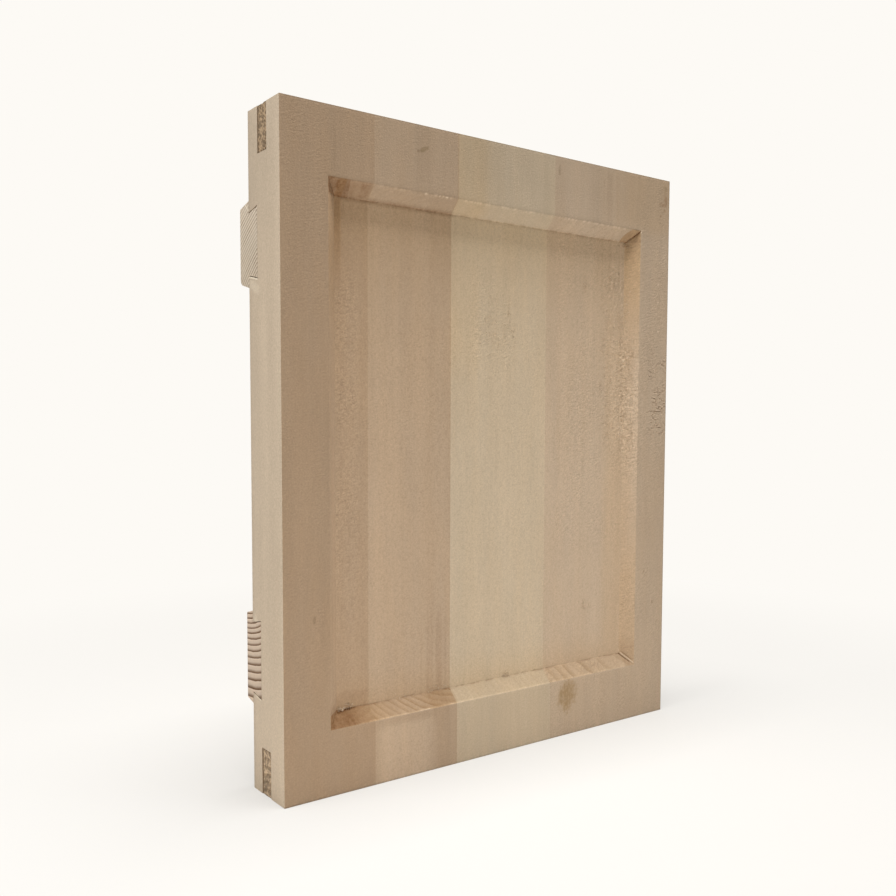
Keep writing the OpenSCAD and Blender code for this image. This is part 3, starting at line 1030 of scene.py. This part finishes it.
def raised_marks(u, v):
    """Raised grain: strongest beside the left slope, down the right side and on the right border."""
    raised = np.maximum.reduce([
        *areas(u, v, RAISED),
        between(u, field_r + 1, board_w - 3, 2) * profile(v, *BORDER_RAISED),
        1.1 * torn_slope(u, v),
        profile(u, *LEFT_RAISED)])
    return np.clip(raised * (0.35 + 0.9 * grain_noise(u, v, 9, 16, 71)), 0, RAISED_LIMIT)


cover(warm_marks)
cover(raised_marks)

# %% [markdown]
# All staves use the same grid lines, which keeps neighbours flush along a glue joint. The lines are close
# on the slopes and in the corners, where the small shapes are, and wide on the plain border.

# %% Grid lines
FINE, PLAIN, COARSE = 0.3, 0.9, 1.3
TORN_FROM, TORN_TO = 155, 210


def lines(*stretches):
    """Grid lines in millimetres, from stretches of (start, end, spacing)."""
    parts = [np.linspace(a, b, max(2, round((b - a) / spacing) + 1)) for a, b, spacing in stretches]
    return np.unique(np.round(np.concatenate(parts), 4))


across_lines = lines(
    (0, EASE, EASE / 2), (EASE, field_l - 2, COARSE), (field_l - 2, field_l, FINE), (field_l, floor_l, FINE),
    (floor_l, joints[0], FINE), (joints[0], joints[1], PLAIN), (joints[1], joints[2], PLAIN),
    (joints[2], floor_r - 9, PLAIN), (floor_r - 9, floor_r, FINE), (floor_r, field_r, FINE),
    (field_r, field_r + 2, FINE), (field_r + 2, board_w - EASE, PLAIN / 2),
    (board_w - EASE, board_w, EASE / 2))
up_lines = lines(
    (0, EASE, EASE / 2), (EASE, field_b - 2, COARSE), (field_b - 2, field_b, FINE), (field_b, floor_b, FINE),
    (floor_b, floor_b + 6, FINE), (floor_b + 6, TORN_FROM, PLAIN), (TORN_FROM, TORN_TO, FINE),
    (TORN_TO, floor_t - 4, PLAIN), (floor_t - 4, floor_t, FINE),
    (floor_t, field_t, FINE), (field_t, field_t + 2, FINE), (field_t + 2, board_h - EASE, COARSE),
    (board_h - EASE, board_h, EASE / 2))
print(f"{len(across_lines)} lines across, {len(up_lines)} lines up")

# %% [markdown]
# A stave starts as a copy of its CAD node, so its joints, slots and grooves are exact. Its front faces
# are taken off and a fine grid is stitched in their place. The edges round the hole are first split
# wherever a grid line meets them, so grid and shell share every point and no seam can open.

# %% Shell of a stave
SAME = 0.001 * MM
FLAT = math.radians(0.5)


def merged_copy(node):
    """The CAD node's shape as a bmesh with shared corners and whole flat faces."""
    shell = bmesh.new()
    shell.from_mesh(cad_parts[node].data)
    bmesh.ops.remove_doubles(shell, verts=shell.verts, dist=SAME)
    bmesh.ops.dissolve_limit(shell, angle_limit=FLAT, verts=shell.verts, edges=shell.edges)
    return shell


def score(shell, faces, axis, level):
    """Cuts faces where a plane across an axis meets them, and returns what they became."""
    normal = Vector((axis == 0, axis == 1, axis == 2))
    geometry = {item for face in faces for item in (face, *face.edges, *face.verts)}
    made = bmesh.ops.bisect_plane(shell, geom=list(geometry), dist=SAME,
                                  plane_co=normal * level, plane_no=normal)
    return [item for item in made["geom"] if isinstance(item, bmesh.types.BMFace)]


def outer_faces(shell):
    """Faces of a stave that lie on the board's sides, ends or back."""
    levels = ((0, left_x * MM), (0, (left_x + board_w) * MM), (1, back_y), (2, 0.0), (2, board_h * MM))
    return [face for face in shell.faces
            if any(all(abs(v.co[axis] - level) < TOUCH for v in face.verts) for axis, level in levels)]


def split_edge(edge, axis, values):
    """Adds a corner to an edge wherever it crosses one of the values along an axis."""
    start, end = sorted(edge.verts, key=lambda corner: corner.co[axis])
    for value in values:
        if start.co[axis] + TOUCH < value < end.co[axis] - TOUCH:
            share = (value - start.co[axis]) / (end.co[axis] - start.co[axis])
            start = bmesh.utils.edge_split(edge, start, share)[1]


print("tools for the shell ready")

# %% [markdown]
# The grid starts flat. On each slope's mitre a square of the grid is cut along the diagonal that the mitre
# follows, so that the corner of the field stays crisp. Then every point gets its depth and its marks, and
# those at the board's outer edges are pulled onto a rounded box.

# %% Front of a stave
def front_grid(across, up):
    """Points of the plain front and its faces, with the slopes' mitres along the faces' edges."""
    u, v = np.meshgrid(across, up)
    depth = np.clip(inside(u, v), 0, bevel_w) * field_depth / bevel_w
    points = np.stack([(u + left_x) * MM, front_y + depth * MM, v * MM], -1).reshape(-1, 3)
    index = np.arange(u.size).reshape(u.shape)
    faces = []
    for row in range(len(up) - 1):
        v_mid = (up[row] + up[row + 1]) / 2
        low, high = field_b < v_mid < floor_b, floor_t < v_mid < field_t
        for column in range(len(across) - 1):
            a, b = index[row, column], index[row, column + 1]
            d, c = index[row + 1, column], index[row + 1, column + 1]
            u_mid = (across[column] + across[column + 1]) / 2
            left, right = field_l < u_mid < floor_l, floor_r < u_mid < field_r
            if low and left or high and right:
                faces += [(a, b, c), (a, c, d)]
            elif low and right or high and left:
                faces += [(a, b, d), (b, c, d)]
            else:
                faces.append((a, b, c, d))
    return points.tolist(), [tuple(map(int, face)) for face in faces]


def eased(points):
    """Points of the board with its outer edges rounded: each is pulled onto a rounded box."""
    low = np.array([left_x + EASE, front_mm + EASE, EASE]) * MM
    high = np.array([left_x + board_w - EASE, back_y / MM - EASE, board_h - EASE]) * MM
    core = np.clip(points, low, high)
    off = points - core
    length = np.linalg.norm(off, axis=1, keepdims=True)
    return np.where(length > EASE * MM, core + off * EASE * MM / np.maximum(length, 1e-9), points)


def work_front(mesh):
    """Gives the front its depth and its marks, and eases the board's outer edges."""
    flat = np.empty(len(mesh.vertices) * 3)
    mesh.vertices.foreach_get("co", flat)
    points = flat.reshape(-1, 3)
    on_front = points[:, 1] < floor_y + TOUCH
    u, v = points[:, 0] / MM - left_x, points[:, 2] / MM
    depth = np.where(on_front, front_depth(u, v), 0)
    points[on_front, 1] = front_y + depth[on_front] * MM
    mesh.vertices.foreach_set("co", eased(points).ravel())
    marks = np.stack([burn_and_shade_marks(u, v), pale_and_highlight_marks(u, v), warm_marks(u, v), raised_marks(u, v)], -1)
    marks[~on_front] = 0
    layer = mesh.attributes.new("marks", "FLOAT_COLOR", "POINT")
    layer.data.foreach_set("color", marks.astype(np.float32).ravel())


print("tools for the front ready")

# %% [markdown]
# Every piece is finished in the same way. Its faces are shaded smooth, apart from edges that turn sharply,
# and it takes over from its CAD node: the same body, so that it moves with the joints, and the finish made
# for that node. Counting the open edges shows whether the shell is still closed.

# %% Finished pieces
CRISP = math.radians(32)


def finish_piece(shell, name, node, body, work=None):
    """Makes a bmesh a finished piece that stands for a CAD node, smooth but with its crisp edges kept."""
    mesh = bpy.data.meshes.new(name)
    shell.to_mesh(mesh)
    shell.free()
    if work:
        work(mesh)
    shape = bmesh.new()
    shape.from_mesh(mesh)
    shape.normal_update()
    for face in shape.faces:
        face.smooth = True
    for edge in shape.edges:
        edge.smooth = edge.calc_face_angle(math.pi) < CRISP
    open_edges = sum(not edge.is_manifold for edge in shape.edges)
    shape.to_mesh(mesh)
    shape.free()
    mesh.materials.append(finishes[node])
    piece = bpy.data.objects.new(name, mesh)
    bpy.context.scene.collection.objects.link(piece)
    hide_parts(node)
    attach(piece, body)
    triangles = sum(len(face.vertices) - 2 for face in mesh.polygons)
    print(f"{name}: {triangles} triangles, {open_edges} open edges")


print("finish ready")

# %% [markdown]
# With these tools a stave takes four steps: score the shell where its outer edges will be rounded, open
# the front, stitch the grid in, and give the grid its depth and its marks.

# %% Staves
SEAM = 0.005 * MM
EASED_LEVELS = ((0, left_x + EASE), (0, left_x + board_w - EASE), (1, front_mm + EASE),
                (1, back_y / MM - EASE), (2, EASE), (2, board_h - EASE))


def stave_piece(node):
    """A stave with a worked front: the CAD shell with a fine grid stitched over its front."""
    low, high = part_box(node)
    shell = merged_copy(node)
    for axis, level in EASED_LEVELS:
        score(shell, outer_faces(shell), axis, level * MM)
    fronts = [f for f in shell.faces if f.normal.y < -0.3 and f.calc_center_median().y < floor_y + TOUCH]
    bmesh.ops.delete(shell, geom=fronts, context="FACES")

    start, end = low.x / MM - left_x - 0.01, high.x / MM - left_x + 0.01
    across = across_lines[(across_lines > start) & (across_lines < end)]
    for edge in [e for e in shell.edges if e.is_boundary]:
        run = [abs(edge.verts[0].co[axis] - edge.verts[1].co[axis]) for axis in range(3)]
        if run[0] > run[2]:
            split_edge(edge, 0, (across + left_x) * MM)
        else:
            split_edge(edge, 2, up_lines * MM)
    grid = bpy.data.meshes.new("grid")
    points, faces = front_grid(across, up_lines)
    grid.from_pydata(points, [], faces)
    shell.from_mesh(grid)
    bpy.data.meshes.remove(grid)
    bmesh.ops.remove_doubles(shell, verts=[v for v in shell.verts if v.is_boundary], dist=SEAM)
    finish_piece(shell, f"{node}_board", node, "panel", work_front)


for node in STAVES:
    stave_piece(node)

# %% [markdown]
# Where the cutter tore the wood, single fibres still stand up from it. They are far too many to place by
# hand, so Geometry Nodes scatter them: points on a patch of the front, as close together as its share
# attribute says, and on each point a thin three-sided spike that leans out along the grain. The spikes
# are made real and kept as one plain mesh, which rides on the board.

# %% Ground of the fibres
FIBRE_CELL = 0.8
LEAST_SHARE = 0.02
FIBRE_PATCHES = {
    "right slope": ((211.5, 215, 1.2), (150, 212, 1.2), 0.35),
    "right floor": ((196, 210, 5), (155, 248, 5), 0.16),
    "middle": ((111, 129, 6), (206, 224, 6), 0.12),
    "slit": ((29.5, 37, 0.8), (36.2, 38, 0.8), 1.0),
    "upper tuft": ((180, 182, 1.5), (236, 240, 1.5), 0.5),
    "lower tuft": ((181, 187, 1.2), (65, 70, 1.2), 0.5),
    "lowest tuft": ((184, 186, 1.2), (57, 59, 1.2), 0.5),
    "bottom edge": ((126, 130, 0.8), (36.6, 38.6, 0.8), 1.0),
    "bottom edge, left": ((60, 92, 0.8), (36.4, 38.5, 0.8), 0.25),
    "upper right corner": ((209.5, 213, 0.8), (262, 265, 0.8), 0.8)}


def fibre_ground():
    """The part of the worked front on which fibres stand, with their share, 0 to 1, as an attribute."""
    u, v = np.meshgrid(np.arange(floor_l - 1, field_r - 1.5, FIBRE_CELL),
                       np.arange(floor_b - 1, floor_t + 3, FIBRE_CELL))
    share = np.maximum.reduce(areas(u, v, FIBRE_PATCHES))
    points = np.stack([(u + left_x) * MM, front_y + front_depth(u, v) * MM, v * MM], -1).reshape(-1, 3)
    index = np.arange(u.size).reshape(u.shape)
    corners = np.stack([index[:-1, :-1], index[:-1, 1:], index[1:, 1:], index[1:, :-1]], -1).reshape(-1, 4)
    faces = corners[share.ravel()[corners].min(axis=1) > LEAST_SHARE]
    mesh = bpy.data.meshes.new("fibre_ground")
    mesh.from_pydata(points.tolist(), [], faces.tolist())
    layer = mesh.attributes.new("share", "FLOAT", "POINT")
    layer.data.foreach_set("value", share.astype(np.float32).ravel())
    return mesh


ground = fibre_ground()
print(f"fibres may stand on {len(ground.polygons)} cells")

# %% [markdown]
# The node tree has four steps: points, a spike on each of them, real geometry, and a material. Its inputs
# are sockets with names, so that the numbers can be changed in the modifier without opening the tree.

# %% Torn fibres
FIBRE_SETTINGS = {"Fibres per area": 1.6e6, "Length": 1.3 * MM, "Thickness": 0.15 * MM, "Seed": 5}
SPIKE_SIDES = 3
LEAN_LOW, LEAN_HIGH = (-0.6, -0.9, -1.0), (0.6, -0.25, 1.0)
SIZE_LOW, SIZE_HIGH = 0.5, 1.3


def fibre_tree(material):
    """The node tree that scatters spikes over the ground, and its inputs by name."""
    tree = bpy.data.node_groups.new("torn_fibres", "GeometryNodeTree")
    kinds = {"Ground": "Geometry", "Fibres per area": "Float", "Length": "Float", "Thickness": "Float",
             "Seed": "Int"}
    sockets = {name: tree.interface.new_socket(name, in_out="INPUT", socket_type=f"NodeSocket{kind}")
               for name, kind in kinds.items()}
    tree.interface.new_socket("Fibres", in_out="OUTPUT", socket_type="NodeSocketGeometry")
    source = add(tree, "NodeGroupInput", {}).outputs

    share = add(tree, "GeometryNodeInputNamedAttribute", {"Name": "share"}, data_type="FLOAT")
    density = calc(tree, "MULTIPLY", share.outputs["Attribute"], source["Fibres per area"])
    points = add(tree, "GeometryNodeDistributePointsOnFaces", {
        "Mesh": source["Ground"], "Density": density, "Seed": source["Seed"]})
    spike = add(tree, "GeometryNodeMeshCone", {
        "Vertices": SPIKE_SIDES, "Radius Top": 0.0, "Radius Bottom": source["Thickness"],
        "Depth": source["Length"]})
    lean = add(tree, "FunctionNodeRandomValue", {0: LEAN_LOW, 1: LEAN_HIGH, "Seed": source["Seed"]},
               data_type="FLOAT_VECTOR")
    turned = add(tree, "FunctionNodeAlignRotationToVector", {"Vector": lean.outputs[0]}, axis="Z")
    size = add(tree, "FunctionNodeRandomValue", {2: SIZE_LOW, 3: SIZE_HIGH}, data_type="FLOAT")
    spikes = add(tree, "GeometryNodeInstanceOnPoints", {
        "Points": points.outputs["Points"], "Instance": spike.outputs["Mesh"],
        "Rotation": turned.outputs["Rotation"], "Scale": size.outputs[1]})
    real = add(tree, "GeometryNodeRealizeInstances", {"Geometry": spikes.outputs["Instances"]})
    painted = add(tree, "GeometryNodeSetMaterial", {
        "Geometry": real.outputs["Geometry"], "Material": material})
    add(tree, "NodeGroupOutput", {"Fibres": painted.outputs["Geometry"]})
    return tree, sockets


fibre_wood = lime("torn_fibre", (262, 60), (0.60, 0.49, 0.365), (0.46, 0.36, 0.25), (0.3, 0.3))
fibres = bpy.data.objects.new("torn_fibres", ground)
bpy.context.scene.collection.objects.link(fibres)
scatter = fibres.modifiers.new("scatter", "NODES")
scatter.node_group, fibre_inputs = fibre_tree(fibre_wood)
for name, value in FIBRE_SETTINGS.items():
    scatter[fibre_inputs[name].identifier] = value
grown = fibres.evaluated_get(bpy.context.evaluated_depsgraph_get())
fibre_mesh = bpy.data.meshes.new_from_object(grown)
fibre_mesh.polygons.foreach_set("material_index", np.zeros(len(fibre_mesh.polygons), dtype=np.int32))
fibre_mesh.materials.clear()
fibre_mesh.materials.append(fibre_wood)
fibres.modifiers.clear()
fibres.data = fibre_mesh
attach(fibres, "panel")
print(f"{len(fibre_mesh.polygons) // (SPIKE_SIDES + 1)} fibres of {len(fibre_mesh.vertices)} points")

# %% [markdown]
# The splines are plain strips, glued in and sawn off with the board. What shows of them is end grain:
# a rough, darker patch at each side. Cutting the end face into small cells lets the saw's roughness be
# real relief, a few tenths of a millimetre deep, with a fine shadow line that comes and goes round it.

# %% Splines
END_CELL = 0.5
RIM_REACH = 0.6
NOISE_SHIFT = 90.0


def roughen_ends(shell, node, relief):
    """Cuts both end faces into cells and sinks their points by a relief in millimetres."""
    low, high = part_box(node)
    for side, end in ((-1, low.x), (1, high.x)):
        faces = [f for f in shell.faces if f.normal.x * side > 0.99]
        for axis in (1, 2):
            count = max(2, round((high[axis] - low[axis]) / (END_CELL * MM)))
            for level in np.linspace(low[axis], high[axis], count + 1)[1:-1]:
                faces = score(shell, faces, axis, level)
        for corner in {v for face in faces for v in face.verts}:
            corner.co.x = end - side * relief(corner.co.y / MM, corner.co.z / MM) * MM


def spline_piece(node, seed):
    """A hardwood strip with rough sawn ends, a little below the board's sides."""
    low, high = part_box(node)

    def relief(y, z):
        rim = min(y - low.y / MM, high.y / MM - y, z - low.z / MM, high.z / MM - z)
        back, up = np.array([y + NOISE_SHIFT]), np.array([z + NOISE_SHIFT])
        grit = grain_noise(back, up, 0.8, 0.7, seed)[0]
        open_cut = grain_noise(back, up, 2.5, 3.5, seed + 5)[0]
        return 0.1 + 0.3 * grit + 0.6 * open_cut * max(0, RIM_REACH - rim)

    shell = merged_copy(node)
    roughen_ends(shell, node, relief)
    finish_piece(shell, f"{node}_strip", node, "panel")


spline_piece("top_spline", 61)
spline_piece("bottom_spline", 62)

# %% [markdown]
# The battens keep the exact section and taper of the CAD model, because they have to slide. Only their
# ends are worked: the edges are eased with a small bevel, so that they catch the light.

# %% Battens
END_BEVEL = 0.3 * MM


def batten_piece(node):
    """A batten with eased end edges."""
    low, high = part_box(node)
    shell = merged_copy(node)
    rims = [e for e in shell.edges
            if any(all(abs(v.co.x - end) < TOUCH for v in e.verts) for end in (low.x, high.x))]
    bmesh.ops.bevel(shell, geom=rims, offset=END_BEVEL, segments=2, profile=0.5, affect="EDGES",
                    clamp_overlap=True)
    finish_piece(shell, f"{node}_bar", node, node)


for node in ("upper_batten", "lower_batten"):
    batten_piece(node)

# %% [markdown]
# The studio is a pale table under a large lamp. The lamp hangs almost straight above the board, so that it
# only grazes the front and brings out the grain, and most of the front's light comes back up from the
# table. A weaker lamp on the left lights the board's side. The background is the world's own pale colour
# for the camera.

# %% Light
BACKGROUND = (0.982, 0.956, 0.913, 1)
SKY = (1.0, 0.98, 0.95, 1)
SKY_STRENGTH = 0.06
LAMP_COLOUR = (1.0, 0.98, 0.95)
scene = bpy.context.scene
scene.view_settings.view_transform = "Standard"


def seen_directly(tree):
    """1 for rays from the camera and for those mirrored or sent on to it."""
    path = add(tree, "ShaderNodeLightPath", {})
    rays = [path.outputs[name] for name in ("Is Camera Ray", "Is Glossy Ray", "Is Transmission Ray")]
    return calc(tree, "MAXIMUM", calc(tree, "MAXIMUM", rays[0], rays[1]), rays[2])


def soft_lamp(name, place, aim, size, power):
    """A square area lamp, in metres, turned towards a point."""
    data = bpy.data.lights.new(name, "AREA")
    data.size = size
    data.energy = power
    data.color = LAMP_COLOUR
    lamp = bpy.data.objects.new(name, data)
    lamp.location = place
    lamp.rotation_euler = (Vector(aim) - Vector(place)).to_track_quat("-Z", "Y").to_euler()
    scene.collection.objects.link(lamp)


world = bpy.data.worlds.new("studio")
scene.world = world
world.use_nodes = True
sky = world.node_tree
sky.nodes.clear()
shades = []
for colour, strength in ((SKY, SKY_STRENGTH), (BACKGROUND, 1.0)):
    shades.append(add(sky, "ShaderNodeBackground", {"Color": colour, "Strength": strength}).outputs[0])
choose = add(sky, "ShaderNodeMixShader", dict(enumerate((seen_directly(sky), *shades))))
add(sky, "ShaderNodeOutputWorld", {"Surface": choose.outputs[0]})
soft_lamp("overhead", (0, -0.12, 1.3), (0, -0.12, 0), 0.6, 26)
soft_lamp("window", (-0.9, 0.05, 0.8), (-0.12, 0, 0.15), 0.6, 6)
print("lamps:", ", ".join(light.name for light in bpy.data.lights))

# %% [markdown]
# The table is a plain pale sheet. It lights the board from below with its real brightness, but the camera
# sees it fade into the background away from the board, so that only the soft shadow is left on it.

# %% Floor
FLOOR_BOUNCE = (0.86, 0.84, 0.80, 1)
FLOOR_SEEN = (0.57, 0.567, 0.558, 1)
FLOOR_HALF = 3.0
FLOOR_ROUGHNESS = 0.9
FLOOR_SHEEN = 0.1
FADE_RANGE = (0.1, 0.55)
FADE_NEAR = 0.5


def floor_finish():
    """A pale floor that keeps the shadow and fades into the background away from the board."""
    material = bpy.data.materials.new("pale_floor")
    material.use_nodes = True
    tree = material.node_tree
    shader = tree.nodes["Principled BSDF"]
    direct = seen_directly(tree)
    feed(tree, shader.inputs["Base Color"], mix(tree, direct, FLOOR_BOUNCE, FLOOR_SEEN))
    feed(tree, shader.inputs["Roughness"], FLOOR_ROUGHNESS)
    feed(tree, shader.inputs["Specular IOR Level"], FLOOR_SHEEN)
    glow = add(tree, "ShaderNodeEmission", {"Color": BACKGROUND})
    source = add(tree, "ShaderNodeTexCoord", {})
    distance = vector(tree, "LENGTH", source.outputs["Object"], (0, 0, 0))
    share = product(tree, direct, change(tree, distance, *FADE_RANGE, FADE_NEAR, 1.0))
    choose = add(tree, "ShaderNodeMixShader", {0: share, 1: shader.outputs[0], 2: glow.outputs[0]})
    feed(tree, tree.nodes["Material Output"].inputs["Surface"], choose.outputs[0])
    return material


floor_mesh = bpy.data.meshes.new("floor")
corners = [(-FLOOR_HALF, -FLOOR_HALF, 0), (FLOOR_HALF, -FLOOR_HALF, 0),
           (FLOOR_HALF, FLOOR_HALF, 0), (-FLOOR_HALF, FLOOR_HALF, 0)]
floor_mesh.from_pydata(corners, [], [(0, 1, 2, 3)])
floor_mesh.materials.append(floor_finish())
floor = bpy.data.objects.new("floor", floor_mesh)
scene.collection.objects.link(floor)
print(f"floor {2 * FLOOR_HALF:.0f} m square")
